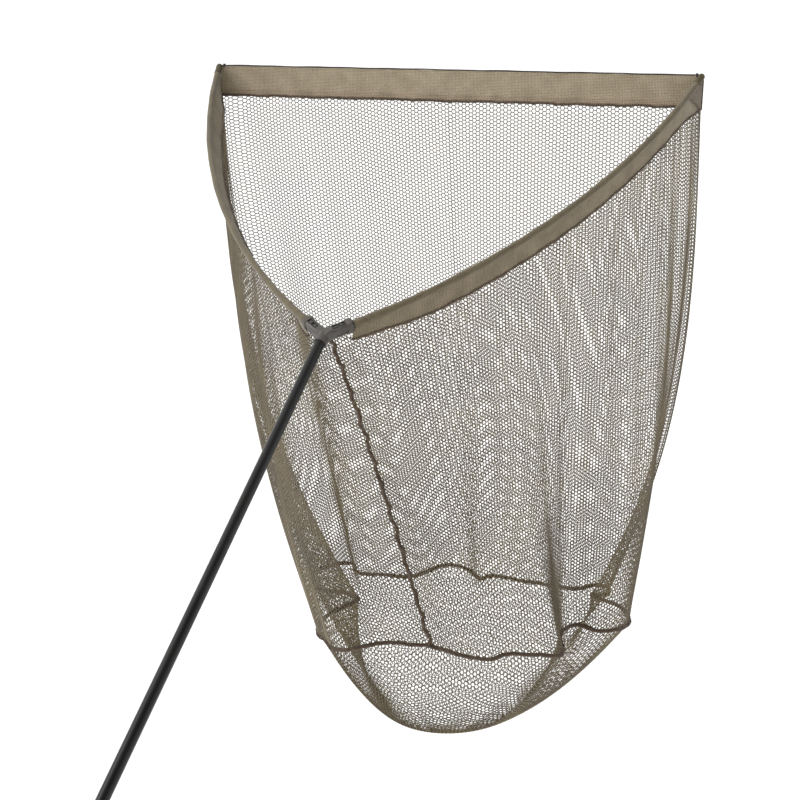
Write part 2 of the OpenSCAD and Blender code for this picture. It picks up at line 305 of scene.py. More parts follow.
def new_material(name, base, roughness, **shader):
    """A material with its principled shader; returns the material, its tree and the shader."""
    material = bpy.data.materials.new(name)
    material.use_nodes = True
    tree = material.node_tree
    body = tree.nodes["Principled BSDF"]
    body.inputs["Base Color"].default_value = linear(base)
    body.inputs["Roughness"].default_value = roughness
    for key, value in shader.items():
        body.inputs[key.replace("_", " ")].default_value = value
    return material, tree, body


def mottle(tree, low, high, scale, detail=4.0, vector=None, spread=(0.35, 0.65)):
    """A colour that drifts between two hex tints over patches; scale is cells for each metre."""
    if vector is None:
        vector = add_node(tree, "ShaderNodeTexCoord").outputs["Object"]
    noise = add_node(tree, "ShaderNodeTexNoise", Vector=vector, Scale=scale, Detail=detail)
    ramp = add_node(tree, "ShaderNodeValToRGB", Fac=noise.outputs["Fac"])
    ramp.color_ramp.elements[0].position = spread[0]
    ramp.color_ramp.elements[0].color = linear(low)
    ramp.color_ramp.elements[1].position = spread[1]
    ramp.color_ramp.elements[1].color = linear(high)
    return ramp.outputs["Color"]


def set_bump(tree, body, height, distance, strength=1.0):
    """Links a height, in units of distance metres, to the shader's normal."""
    bump = add_node(tree, "ShaderNodeBump", Height=height, Distance=distance, Strength=strength)
    tree.links.new(bump.outputs["Normal"], body.inputs["Normal"])


print("material helpers ready")

# %% [markdown]
# ## Finishes
#
# Each finish starts from what the real piece is made of. Netting twine is knitted polyester: matt,
# with a faint sheen from its filaments. The bands are a close weave whose holes are about two
# millimetres apart. The bound seams are overlocked with thick brown thread. The block is glass
# filled nylon with a moulded grain, and the handle is a tube with a satin lacquer.

# %% Twine of the netting
def make_twine():
    """Knitted polyester twine: matt khaki, a little darker in patches where it is stretched."""
    material, tree, body = new_material("knitted polyester twine", "#6b5e42", 0.8,
                                        Sheen_Weight=0.3, Sheen_Roughness=0.5)
    tint = mottle(tree, "#5d5037", "#766847", 9.0)
    tree.links.new(tint, body.inputs["Base Color"])
    coords = add_node(tree, "ShaderNodeTexCoord").outputs["Object"]
    fibre = add_node(tree, "ShaderNodeTexNoise", Vector=coords, Scale=1400.0, Detail=2.0)
    set_bump(tree, body, fibre.outputs["Fac"], 0.0003, 0.5)
    return material


twine = make_twine()
print(twine.name)

# %% Close-woven band cloth
# Every weave is drawn at about twice its real spacing, so that it still shows from a few metres
WEAVE = 4.6 * MM


def make_weave(name, hole, patch, pitch=WEAVE):
    """Plain woven cloth: threads cross every pitch, drawn in the cloth's own UV map. patch holds
    the two tints that it drifts between, and hole is the tint between its threads."""
    material, tree, body = new_material(name, patch[1], 0.82, Sheen_Weight=0.25, Sheen_Roughness=0.5)
    cloth = add_node(tree, "ShaderNodeUVMap", {"uv_map": "cloth"}).outputs["UV"]
    turned = add_node(tree, "ShaderNodeMapping", Vector=cloth, Rotation=(0, 0, math.pi / 4))
    axes = add_node(tree, "ShaderNodeSeparateXYZ", Vector=turned.outputs["Vector"])
    waves = []
    for axis in ("X", "Y"):
        phase = add_node(tree, "ShaderNodeMath", {"operation": "MULTIPLY"},
                         i0=axes.outputs[axis], i1=2 * math.pi / pitch)
        waves.append(add_node(tree, "ShaderNodeMath", {"operation": "SINE"},
                              i0=phase.outputs[0]).outputs[0])
    product = add_node(tree, "ShaderNodeMath", {"operation": "MULTIPLY"}, i0=waves[0], i1=waves[1])
    worn = add_node(tree, "ShaderNodeTexNoise", Vector=cloth, Scale=330.0, Detail=3.0)
    height = add_node(tree, "ShaderNodeMath", {"operation": "MULTIPLY_ADD"},
                      i0=worn.outputs["Fac"], i1=2.2, i2=product.outputs[0])
    ramp = add_node(tree, "ShaderNodeValToRGB", Fac=add_node(
        tree, "ShaderNodeMapRange", Value=height.outputs[0],
        From_Min=-0.1, From_Max=2.3).outputs["Result"])
    ramp.color_ramp.elements[0].color = linear(hole)
    ramp.color_ramp.elements[1].color = (1, 1, 1, 1)
    ramp.color_ramp.elements[1].position = 0.55
    tint = mottle(tree, patch[0], patch[1], 26.0, vector=cloth)
    mixed = add_node(tree, "ShaderNodeMix", {"data_type": "RGBA", "blend_type": "MULTIPLY"},
                     Factor=1.0, i6=tint, i7=ramp.outputs["Color"])
    tree.links.new(mixed.outputs[2], body.inputs["Base Color"])
    set_bump(tree, body, height.outputs[0], 0.0004, 0.6)
    return material


# A single layer lets light through, so the front band is the palest cloth of the net
band_cloth = make_weave("close woven polyester mesh", "#6a6150", ("#a6987f", "#b6a88f"))
# Two layers let little light through, which makes the side bands a darker tan
side_cloth = make_weave("close woven polyester mesh, two layers", "#5e5647", ("#82765f", "#978a72"))
# Cloth turned up on itself looks coarser and shows dark pinholes
hem_cloth = make_weave("turned hem of the mesh", "#4a4033", ("#9b8a73", "#b19f87"), 5.2 * MM)
# A tight weave reads as one even olive, so the arms stand out from the bands
sleeve_cloth = make_weave("woven nylon sleeve", "#5f563f", ("#655a43", "#74684e"), 3.2 * MM)
# Proofing fills the weave: brown, smooth and nearly plain
patch_cloth = make_weave("proofed nylon corner cloth", "#5c5140", ("#665743", "#766750"), 2.6 * MM)
# Fine ribs of a dark webbing
tie_cloth = make_weave("narrow webbing", "#5a5342", ("#524c42", "#5f584c"), 1.2 * MM)
print(band_cloth.name, "-", sleeve_cloth.name)

# %% Overlocked seam thread
def make_thread(name, low, high, turns=260.0):
    """Thick spun thread laid side by side across a seam: dark, matt and finely ribbed."""
    material, tree, body = new_material(name, high, 0.88, Sheen_Weight=0.35, Sheen_Roughness=0.4)
    cloth = add_node(tree, "ShaderNodeUVMap", {"uv_map": "cloth"}).outputs["UV"]
    tint = mottle(tree, low, high, 160.0, vector=cloth)
    rib = add_node(tree, "ShaderNodeTexWave", {"bands_direction": "X"}, Vector=cloth,
                   Scale=turns, Distortion=1.2, Detail=2.0, Detail_Scale=1.0)
    dark = add_node(tree, "ShaderNodeMapRange", Value=rib.outputs["Fac"], To_Min=0.45, To_Max=1.0)
    mixed = add_node(tree, "ShaderNodeMix", {"data_type": "RGBA", "blend_type": "MULTIPLY"},
                     Factor=1.0, i6=tint, i7=dark.outputs["Result"])
    tree.links.new(mixed.outputs[2], body.inputs["Base Color"])
    set_bump(tree, body, rib.outputs["Fac"], 0.0006, 0.8)
    return material


# The seams of the bag are its darkest lines, and their brown draws the shape of the bag
seam_thread = make_thread("overlocked brown thread", "#5e4936", "#7d6650")
# The rolled edge inside a band's binding keeps the band's own khaki
hem_thread = make_thread("overlocked khaki thread", "#7b6952", "#9b876e")
# A tight dark braid: a thin clear line along the front
cord_braid = make_thread("braided nylon cord", "#26211a", "#4a4334", 420.0)
print(seam_thread.name, "-", hem_thread.name)

# %% Moulded, lacquered and turned finishes
def make_solid(name, low, high, roughness, grain, depth, patches=40.0, **shader):
    """A hard finish: a base tint that drifts a little, and a surface grain of a real size."""
    material, tree, body = new_material(name, high, roughness, **shader)
    coords = add_node(tree, "ShaderNodeTexCoord").outputs["Object"]
    tree.links.new(mottle(tree, low, high, patches), body.inputs["Base Color"])
    fine = add_node(tree, "ShaderNodeTexNoise", Vector=coords, Scale=1 / grain, Detail=3.0)
    rough = add_node(tree, "ShaderNodeMapRange", Value=fine.outputs["Fac"],
                     To_Min=roughness - 0.07, To_Max=roughness + 0.07)
    tree.links.new(rough.outputs["Result"], body.inputs["Roughness"])
    set_bump(tree, body, fine.outputs["Fac"], depth, 0.6)
    return material


# Glass fibre in the nylon gives a warm grey with a fine grain and a low shine
block_nylon = make_solid("moulded glass-filled nylon", "#45413e", "#57524d", 0.5, 0.9 * MM, 0.00012,
                         IOR=1.53, Specular_IOR_Level=0.4)
# The panel frames are black: painted shade for the dark line around each shallow panel, seen against the
# grey block
panel_shade_black = make_solid("moulded black nylon", "#1c1a19", "#262423", 0.55, 0.7 * MM, 0.0001,
                         IOR=1.53, Specular_IOR_Level=0.3)


def darken_neck(material, start):
    """The neck that the handle screws up to is black: past start metres along the handle's axis."""
    tree = material.node_tree
    body = tree.nodes["Principled BSDF"]
    tint = body.inputs["Base Color"].links[0].from_socket
    coords = add_node(tree, "ShaderNodeTexCoord").outputs["Object"]
    along = add_node(tree, "ShaderNodeVectorMath", {"operation": "DOT_PRODUCT"}, i0=coords)
    along.inputs[1].default_value = handle_axis
    inked = add_node(tree, "ShaderNodeMath", {"operation": "GREATER_THAN"}, i0=along.outputs["Value"],
                     i1=start)
    mixed = add_node(tree, "ShaderNodeMix", {"data_type": "RGBA"}, Factor=inked.outputs[0], i6=tint,
                     i7=linear("#262524"))
    tree.links.new(mixed.outputs[2], body.inputs["Base Color"])


darken_neck(block_nylon, 2 * MM)
# Dark olive caps end the arms in the colour of their sleeves
cap_nylon = make_solid("moulded olive nylon", "#443c25", "#544b30", 0.55, 0.8 * MM, 0.0001, IOR=1.53,
                       Specular_IOR_Level=0.3)
# Near black under a clear coat; it shows only where an arm slides out of its socket
arm_lacquer = make_solid("lacquered carbon arm", "#141415", "#1d1d1e", 0.35, 2.0 * MM, 0.00004,
                         IOR=1.5, Coat_Weight=0.4)
# Black with a soft sheen, so the lamp leaves a lighter streak down the left of the tube
handle_lacquer = make_solid("satin lacquered carbon tube", "#0d0d0c", "#151514", 0.3, 3.0 * MM,
                            0.00005, patches=14.0, IOR=1.5, Specular_IOR_Level=0.3)
# Soft pieces are dull black; turned and anodised metal is small and catches the light
rubber = make_solid("moulded rubber", "#131313", "#1c1c1c", 0.75, 0.6 * MM, 0.0001, IOR=1.52)
foam = make_solid("closed-cell foam", "#101010", "#1b1b1b", 0.9, 0.7 * MM, 0.0004, IOR=1.45)
black_alloy = make_solid("black anodised aluminium", "#2a2a2c", "#353537", 0.38, 0.5 * MM, 0.00003,
                         Metallic=0.8)
bright_alloy = make_solid("turned aluminium", "#9a9a9c", "#b4b4b6", 0.32, 0.4 * MM, 0.00003,
                          Metallic=1.0)
steel = make_solid("turned stainless steel", "#8f8f90", "#aaaaab", 0.3, 0.4 * MM, 0.00003,
                   Metallic=1.0)

CAD_FINISH = {"spreader_block": block_nylon, "threaded_stud": steel, "arm_left": arm_lacquer,
              "arm_right": arm_lacquer, "arm_ferrule_left": black_alloy,
              "arm_ferrule_right": black_alloy, "lock_washer": rubber,
              "handle_tube": handle_lacquer, "thread_insert": bright_alloy, "grip": foam,
              "grip_ring": bright_alloy, "butt_cap": black_alloy}
for name, material in CAD_FINISH.items():
    nodes[name].data.materials.clear()
    nodes[name].data.materials.append(material)
print(len(CAD_FINISH), "hard nodes finished")

# %% [markdown]
# ## Where a cloth piece hangs
#
# The arms slide out of the block, and the cloth between block and tips stretches. Here a soft piece
# of the right or the left half keeps the place where it is made, with its transform baked into its
# points; a piece in the middle hangs on the head. The bag hangs a little to one side.

# %% Hanging cloth pieces
ring_low, ring_high = (np.array(p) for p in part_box("base_ring_seam"))
ring_mid = (ring_low + ring_high) / 2


def hang_on(obj, side):
    """side is 1 or -1 for a cloth piece of the right or left half, 0 for one in the middle."""
    if side == 0:
        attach(obj, "head")
    else:
        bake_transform(obj)
    return obj


print("base ring centre", ring_mid.round(3))

# %% [markdown]
# ## The bag as a grid of cloth
#
# A bag hangs from its rim and is drawn in to the seam of its base. The walls have 168 columns:
# the first starts at the spine, and they run around by the right arm, the front cord and the left
# arm. Each column joins a point of the rim to a point of the ring seam. The rim is longer than
# the ring, so the spare cloth falls in folds at the two sides. The folds are turns of the ring,
# not a simulated drape, and they fade as they climb to the rim.

# %% Columns and rows
COLUMNS, ROWS = 168, 46
TIP_RIGHT = 55                 # column under the right tip; the left one mirrors it


def edge_drop(lengths):
    """Depth of the bound edge under an arm: shallow at the block, then as deep as the band."""
    near = 14 * MM * (1 - ease((lengths - STRAIGHT) / (180 * MM)))
    under_block = 15 * MM * (1 - ease((lengths - 30 * MM) / (40 * MM)))
    return band_drop(lengths) - near - under_block


def rim_line(columns):
    """The bound edge, one point for each column."""
    columns = np.asarray(columns, float) % COLUMNS
    right = columns <= COLUMNS / 2
    steps = np.where(right, columns, COLUMNS - columns)
    lengths = np.minimum(steps / TIP_RIGHT, 1) * arm_length
    # Under the block the two sides meet in a round turn, not in a corner
    ahead = lengths + 45 * MM * np.exp(-lengths / (30 * MM))
    edge = arm_line(ahead)
    edge[:, 0] = arm_line(lengths)[:, 0]
    edge[~right, 0] *= -1
    fall = np.where(right[:, None], band_fall(lengths, 1), band_fall(lengths, -1))
    edge += fall * edge_drop(lengths)[:, None]
    front = np.clip((steps - TIP_RIGHT) / (COLUMNS / 2 - TIP_RIGHT), 0, 1)
    under_cord = arm_line([arm_length])[0] - (0, 0, TIP_DROP)
    straight = np.stack([np.where(right, 1, -1) * under_cord[0] * (1 - front),
                         0 * front + under_cord[1], 0 * front + under_cord[2]], -1)
    return edge + (straight - edge) * ease(front / 0.12)[:, None]


rim = rim_line(np.arange(COLUMNS))
print(f"rim {np.linalg.norm(np.diff(np.vstack([rim, rim[:1]]), axis=0), axis=1).sum():.2f} m around")

# %% The ring seam, with its folds
# Turns of the seam as shares of the ring's half sizes, and the rise of the seam in millimetres.
# The shares are not a designer's own numbers: they follow a line that a separate program worked
# out from points traced along a real net's seam. Most rows lie a few millimetres off that line.
# The rises did not come from that program
RING_TURNS = (
    (0.07, -0.68, 0), (0.24, -0.73, -4), (0.42, -0.74, -6), (0.50, -0.65, 0), (0.66, -0.60, 2),
    (0.79, -0.52, 0), (0.71, -0.17, 4), (0.76, 0.00, 10), (0.90, 0.01, 2), (1.00, 0.12, 0),
    (1.02, 0.31, 0), (0.92, 0.56, 2), (0.72, 0.70, 6), (0.79, 0.80, 0), (0.78, 0.94, 3),
    (0.69, 0.99, 0), (0.57, 0.90, -5), (0.45, 0.87, 0), (0.22, 0.90, 0), (0.05, 0.92, 2),
    (-0.02, 0.88, -6), (-0.12, 0.98, 2), (-0.25, 1.00, 8), (-0.34, 0.86, 4), (-0.43, 0.73, -4),
    (-0.58, 0.68, -2), (-0.77, 0.66, -2), (-0.86, 0.82, 2), (-1.01, 0.62, 0), (-0.98, 0.35, -4),
    (-0.84, 0.17, 0), (-0.71, 0.16, 0), (-0.58, 0.05, 2), (-0.62, -0.22, 4), (-0.66, -0.46, 0),
    (-0.61, -0.67, -6), (-0.51, -0.80, -8), (-0.44, -0.92, -6), (-0.33, -0.93, 0),
    (-0.18, -0.78, 6), (-0.05, -0.74, 5))


def spline(points, count, closed=True, detail=24):
    """Points at equal steps along a smooth curve through the given ones."""
    points = np.asarray(points, float)
    n = len(points)
    ids = np.arange(n if closed else n - 1)
    pick = (lambda k: points[k % n]) if closed else (lambda k: points[np.clip(k, 0, n - 1)])
    a, b, c, d = (pick(ids + k)[:, None] for k in (-1, 0, 1, 2))
    t = (np.arange(detail) / detail)[None, :, None]
    curve = 0.5 * (2 * b + (c - a) * t + (2 * a - 5 * b + 4 * c - d) * t ** 2
                   + (3 * b - a - 3 * c + d) * t ** 3)
    curve = curve.reshape(-1, points.shape[1])
    curve = np.vstack([curve, points[:1] if closed else points[-1:]])
    along = lengths_along(curve)
    stops = np.linspace(0, along[-1], count, endpoint=not closed)
    return np.column_stack([np.interp(stops, along, curve[:, k]) for k in range(curve.shape[1])])


ring_half = (ring_high - ring_low) / 2
ring_knots = [ring_mid + ring_half * (x, y, 0) + (0, 0, rise * MM) for x, y, rise in RING_TURNS]
ring = spline(ring_knots, COLUMNS)
ring_length = lengths_along(np.vstack([ring, ring[:1]]))[-1]


def soften(loop, passes):
    """Rounds a closed loop of points by averaging neighbours."""
    for _ in range(passes):
        loop = 0.5 * loop + 0.25 * (np.roll(loop, 1, axis=0) + np.roll(loop, -1, axis=0))
    return loop


round_ring = soften(ring, 260)
print(f"ring seam {ring_length:.2f} m around, {1000 * ring_length / COLUMNS:.1f} mm a column")

# %% Walls between rim and ring
# How late a column turns in to the ring: 1 is a straight fall. The bag leans to the right, so cloth
# under the right tip hangs straight first, and cloth under the left tip is pulled across at once
FALL = ((0, 0.9), (16, 1.2), (30, 2.1), (44, 3.2), (55, 3.2), (61, 1.7), (84, 1.2), (102, 1.3),
        (113, 1.7), (124, 1.9), (136, 2.3), (150, 1.8), (160, 1.2), (168, 0.9))


def make_walls():
    """Grid of wall points, ROWS + 1 by COLUMNS, from the rim down to the ring."""
    v = np.linspace(0, 1, ROWS + 1)[:, None, None]
    late = np.interp(np.arange(COLUMNS), *zip(*FALL))[None, :, None]
    drawn = v ** late
    walls = rim + (round_ring - rim) * np.concatenate([drawn, drawn, v + 0 * drawn], axis=2)
    walls += (ring - round_ring) * v ** 1.5
    rng = np.random.default_rng(7)
    out = round_ring - round_ring.mean(axis=0)
    out[:, 2] = 0
    out /= np.linalg.norm(out, axis=1)[:, None]
    side = np.abs(np.sin(2 * np.pi * np.arange(COLUMNS) / COLUMNS)) ** 0.5
    swell = np.zeros((ROWS + 1, COLUMNS))
    for waves, depth in ((9, 3.0), (17, 2.6), (29, 2.0), (43, 1.4)):
        phase, drift = rng.uniform(0, 2 * np.pi, 2)
        swell += depth * MM * np.sin(waves * 2 * np.pi * np.arange(COLUMNS)[None] / COLUMNS + phase
                                     + drift * 0.3 * v[:, :, 0])
    walls += (swell * np.sin(np.pi * v[:, :, 0] ** 0.8) * side)[..., None] * out
    return walls


walls = make_walls()
wall_points = walls.reshape(-1, 3)
print("walls from", wall_points.min(axis=0).round(3), "to", wall_points.max(axis=0).round(3))

# %% Base below the ring
HALF_U, HALF_V = 23, 19          # half sizes of the base panel, in columns of the ring
BASE_POWER = 3.0                 # the panel is flat in the middle and steep at its edge
CALMING = 30                     # rounds of averaging that take sharp dents out of the base
bottom = np.array([-30, -25, 0]) * MM + ring_mid     # its lowest point, under the ring
base_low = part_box("net_base")[0].z


def ring_place(i, j):
    """Column of the ring, as a real number, seen from the panel's centre past the point (i, j)."""
    reach = np.maximum(np.abs(i) / HALF_U, np.abs(j) / HALF_V)
    x, y = i / np.maximum(reach, 1e-9), j / np.maximum(reach, 1e-9)
    near, far = y <= -HALF_V + 1e-6, y >= HALF_V - 1e-6
    right = x >= HALF_U - 1e-6
    column = np.where(near, x, np.where(right, HALF_U + HALF_V + y, np.where(
        far, 2 * (HALF_U + HALF_V) - x, -HALF_U - (y + HALF_V))))
    return column % COLUMNS, reach


def sample_loop(loop, columns):
    """Points of a closed loop at columns that may lie between two of its points."""
    low = np.floor(columns).astype(int)
    part = (columns - low)[..., None]
    return loop[low % COLUMNS] * (1 - part) + loop[(low + 1) % COLUMNS] * part


def make_base():
    """Grid of base points; its border is the ring."""
    i, j = np.meshgrid(np.arange(-HALF_U, HALF_U + 1), np.arange(-HALF_V, HALF_V + 1),
                       indexing="ij")
    columns, reach = ring_place(i.astype(float), j.astype(float))
    depth = ring_mid[2] - base_low
    # Equal steps on the cloth, not on the floor plan, so that the holes stay even where it is steep
    plan = np.linspace(0, 1, 201)
    slope = np.hypot(0.33, BASE_POWER * depth * plan ** (BASE_POWER - 1))
    along = np.concatenate([[0], np.cumsum((slope[1:] + slope[:-1]) / 2)])
    reach = np.interp(reach, along / along[-1], plan)
    outer = sample_loop(ring, columns)
    mean = sample_loop(round_ring, columns)
    r = reach[..., None]
    base = bottom + (mean - bottom) * r + (outer - mean) * r ** 3
    base[..., 2] = (ring_mid[2] - depth * (1 - reach ** BASE_POWER)
                    + (outer[..., 2] - ring_mid[2]) * reach ** 3)
    for _ in range(CALMING):
        calm = (base[:-2, 1:-1] + base[2:, 1:-1] + base[1:-1, :-2] + base[1:-1, 2:]) / 4
        weight = 0.5 * (1 - reach[1:-1, 1:-1, None] ** 6)
        base[1:-1, 1:-1] += (calm - base[1:-1, 1:-1]) * weight
    return base


base = make_base()
print("base lowest", base[..., 2].min().round(3))

# %% [markdown]
# ## Netting
#
# Knotless netting is knitted: its strands split and join again, which leaves six-sided holes of
# about eight millimetres. A texture with holes would look flat from the side, so every strand is
# real here. The lattice is laid out flat, each of its points is carried to the hanging grid by a
# smooth spline patch, and Geometry Nodes give each edge the thickness of the twine.

# %% The lattice of strands
HOLE = 8.3 * MM                              # across a hole, from flat to flat
STRAND = HOLE / math.sqrt(3)                 # length of one side of a hole
HEX_COLUMNS = 404                            # columns of holes around the bag
# The twine is drawn about half as thick again as the real one, and as a three-sided tube, so that
# a strand still shows from a few metres and the bag stays light enough to export
TWINE_D = 2.3 * MM


def sample_grid(grid, u, v, closed=False):
    """Catmull-Rom patch through a grid of points; u and v count rows and columns."""
    rows, columns = grid.shape[:2]

    def weights(t):
        return (-0.5 * t + t ** 2 - 0.5 * t ** 3, 1 - 2.5 * t ** 2 + 1.5 * t ** 3,
                0.5 * t + 2 * t ** 2 - 1.5 * t ** 3, -0.5 * t ** 2 + 0.5 * t ** 3)
    u = np.clip(u, 0, rows - 1)
    i = np.minimum(np.floor(u).astype(int), rows - 2)
    if not closed:
        v = np.clip(v, 0, columns - 1)
    j = np.floor(v).astype(int)
    if not closed:
        j = np.minimum(j, columns - 2)
    result = 0
    for di, wi in enumerate(weights(u - i)):
        a = np.clip(i + di - 1, 0, rows - 1)
        for dj, wj in enumerate(weights(v - j)):
            b = (j + dj - 1) % columns if closed else np.clip(j + dj - 1, 0, columns - 1)
            result = result + grid[a, b] * (wi * wj)[..., None]
    return result


def hex_lattice(columns, rows, place, keep):
    """Points and edges of a honeycomb. columns and rows are (first, last) holes. place turns flat
    (x, y) into points in space; keep says which flat points lie on the cloth."""
    m, n = np.meshgrid(np.arange(*columns), np.arange(*rows), indexing="ij")
    x = m * 1.5 * STRAND
    y = (n + (m % 2) / 2) * HOLE
    flat = np.concatenate([np.stack([x + STRAND, y], -1), np.stack([x - STRAND, y], -1)])
    flat = flat.reshape(-1, 2)
    size = m.size
    index = np.arange(size).reshape(m.shape)
    odd = (m % 2).astype(int)
    edges = []
    for step, rise in ((1, odd), (1, odd - 1), (2, 0 * odd)):
        a_m, a_n = m, n
        b_m, b_n = m + step, n + rise
        ok = (b_m < columns[1]) & (b_n >= rows[0]) & (b_n < rows[1])
        a = index[a_m[ok] - columns[0], a_n[ok] - rows[0]]
        b = index[b_m[ok] - columns[0], b_n[ok] - rows[0]] + size
        edges.append(np.stack([a, b], -1))
    edges = np.concatenate(edges)
    inside = keep(flat)
    edges = edges[inside[edges[:, 0]] & inside[edges[:, 1]]]
    used, edges = np.unique(edges, return_inverse=True)
    return place(flat[used]), edges.reshape(-1, 2)


print(f"holes of {HOLE / MM:.1f} mm, sides of {STRAND / MM:.2f} mm")

# %% Geometry Nodes that give strands their thickness
def strand_tree():
    """Mesh edges in, tubes of twine out. Inputs: Twine radius, Twine sides, Twine material."""
    tree = bpy.data.node_groups.new("twine along edges", "GeometryNodeTree")
    face = tree.interface
    face.new_socket("Geometry", in_out="INPUT", socket_type="NodeSocketGeometry")
    face.new_socket("Twine radius", in_out="INPUT", socket_type="NodeSocketFloat")
    face.new_socket("Twine sides", in_out="INPUT", socket_type="NodeSocketInt")
    face.new_socket("Twine material", in_out="INPUT", socket_type="NodeSocketMaterial")
    face.new_socket("Geometry", in_out="OUTPUT", socket_type="NodeSocketGeometry")
    start = add_node(tree, "NodeGroupInput")
    curves = add_node(tree, "GeometryNodeMeshToCurve", Mesh=start.outputs["Geometry"])
    profile = add_node(tree, "GeometryNodeCurvePrimitiveCircle", {"mode": "RADIUS"})
    tree.links.new(start.outputs["Twine radius"], profile.inputs["Radius"])
    tree.links.new(start.outputs["Twine sides"], profile.inputs["Resolution"])
    body = add_node(tree, "GeometryNodeCurveToMesh", Curve=curves.outputs["Curve"])
    tree.links.new(profile.outputs["Curve"], body.inputs["Profile Curve"])
    soft = add_node(tree, "GeometryNodeSetShadeSmooth", Geometry=body.outputs["Mesh"])
    real = add_node(tree, "GeometryNodeRealizeInstances", Geometry=soft.outputs["Geometry"])
    painted = add_node(tree, "GeometryNodeSetMaterial", Geometry=real.outputs["Geometry"])
    tree.links.new(start.outputs["Twine material"], painted.inputs["Material"])
    end = add_node(tree, "NodeGroupOutput")
    tree.links.new(painted.outputs["Geometry"], end.inputs["Geometry"])
    return tree


twine_tree = strand_tree()


def use_tree(obj, tree, **values):
    """Adds the tree to an object, sets its inputs by name and returns the plain result."""
    modifier = obj.modifiers.new(tree.name, "NODES")
    modifier.node_group = tree
    for item in tree.interface.items_tree:
        key = item.name.replace(" ", "_").lower()
        if item.in_out == "INPUT" and key in values:
            modifier[item.identifier] = values[key]
    return apply_modifiers(obj)


print("tree:", twine_tree.name)

# %% Netting of the walls
column_lengths = np.linalg.norm(np.diff(walls, axis=0), axis=2).sum(axis=0)
wall_heights = soften(column_lengths[:, None], 6)[:, 0]
HEX_PER_COLUMN = HEX_COLUMNS / COLUMNS


def column_of(x):
    """Column of the wall, as a real number, at a flat distance around the bag."""
    return x / (1.5 * STRAND) / HEX_PER_COLUMN


def height_at(columns):
    """Length of cloth from rim to ring at these columns."""
    return np.interp(columns, np.arange(-1, COLUMNS + 2), np.take(
        wall_heights, np.arange(-1, COLUMNS + 2), mode="wrap"))


def wall_netting(name, first, last):
    """A wall piece between two columns, as knitted mesh, with its flat width and height."""
    m0, m1 = round(first * HEX_PER_COLUMN), round(last * HEX_PER_COLUMN)
    top = wall_heights[np.arange(first, last + 1) % COLUMNS].max()

    def place(flat):
        columns = column_of(flat[:, 0])
        down = (1 - flat[:, 1] / height_at(columns)) * ROWS
        return sample_grid(walls, down, columns % COLUMNS, closed=True)

    def keep(flat):
        columns = column_of(flat[:, 0])
        inside = (columns >= first - 0.3) & (columns <= last + 0.3)
        return inside & (flat[:, 1] <= height_at(columns) + HOLE / 2) & (flat[:, 1] > -HOLE / 2)
    points, edges = hex_lattice((m0 - 1, m1 + 2), (-1, int(top / HOLE) + 2), place, keep)
    piece = new_object(name, points, [], edges=edges)
    piece = use_tree(piece, twine_tree, twine_radius=TWINE_D / 2, twine_sides=3, twine_material=twine)
    width = (last - first) * HEX_PER_COLUMN * 1.5 * STRAND
    tall = wall_heights[np.arange(first, last) % COLUMNS].mean()
    print(f"{name}: {len(edges)} strands, {len(piece.data.polygons) * 2} triangles")
    return piece, width, tall


WALL_PIECES = (("netting_right_back", 0, 28, 1, "net_wall_right"),
               ("netting_right_front", 28, 56, 1, "net_wall_right"),
               ("netting_far_right", 56, 84, 1, "net_wall_front"),
               ("netting_far_left", 84, 112, -1, "net_wall_front"),
               ("netting_left_front", 112, 140, -1, "net_wall_left"),
               ("netting_left_back", 140, 168, -1, "net_wall_left"))
for name, first, last, side, node in WALL_PIECES:
    piece, width, tall = wall_netting(name, first, last)
    hang_on(piece, side)
    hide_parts(node)

# %% Netting of the base
def base_netting(name, side):
    """Half of the base panel, as knitted mesh, with its flat width and height."""
    cell = ring_length / COLUMNS
    half_u, half_v = HALF_U * cell, HALF_V * cell

    def place(flat):
        return sample_grid(base, flat[:, 0] / cell + HALF_U, flat[:, 1] / cell + HALF_V)

    def keep(flat):
        own = flat[:, 0] * side >= -STRAND
        across_ok = np.abs(flat[:, 0]) <= half_u + STRAND / 2
        return own & across_ok & (np.abs(flat[:, 1]) <= half_v + HOLE / 3)
    reach = int(half_u / (1.5 * STRAND)) + 2
    tall = int(half_v / HOLE) + 2
    points, edges = hex_lattice((-reach, reach + 1), (-tall, tall + 1), place, keep)
    piece = new_object(name, points, [], edges=edges)
    piece = use_tree(piece, twine_tree, twine_radius=TWINE_D / 2, twine_sides=3, twine_material=twine)
    print(f"{name}: {len(edges)} strands, {len(piece.data.polygons) * 2} triangles")
    return piece, half_u, 2 * half_v


for name, side in (("netting_base_right", 1), ("netting_base_left", -1)):
    piece, width, tall = base_netting(name, side)
    hang_on(piece, side)
    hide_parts("net_base")

# %% [markdown]
# ## Bound seams
#
# The panels are joined, and the bands are edged, by an overlocked seam: a rolled edge of netting
# with thick thread whipped around it. The core is a soft tube that wanders a little. The thread
# is one loop, repeated along the seam by Geometry Nodes at the pitch of the stitching machine.

# %% Geometry Nodes that whip thread around a seam
STITCH = 4.2 * MM              # from one loop of thread to the next
THREAD_R = 0.85 * MM


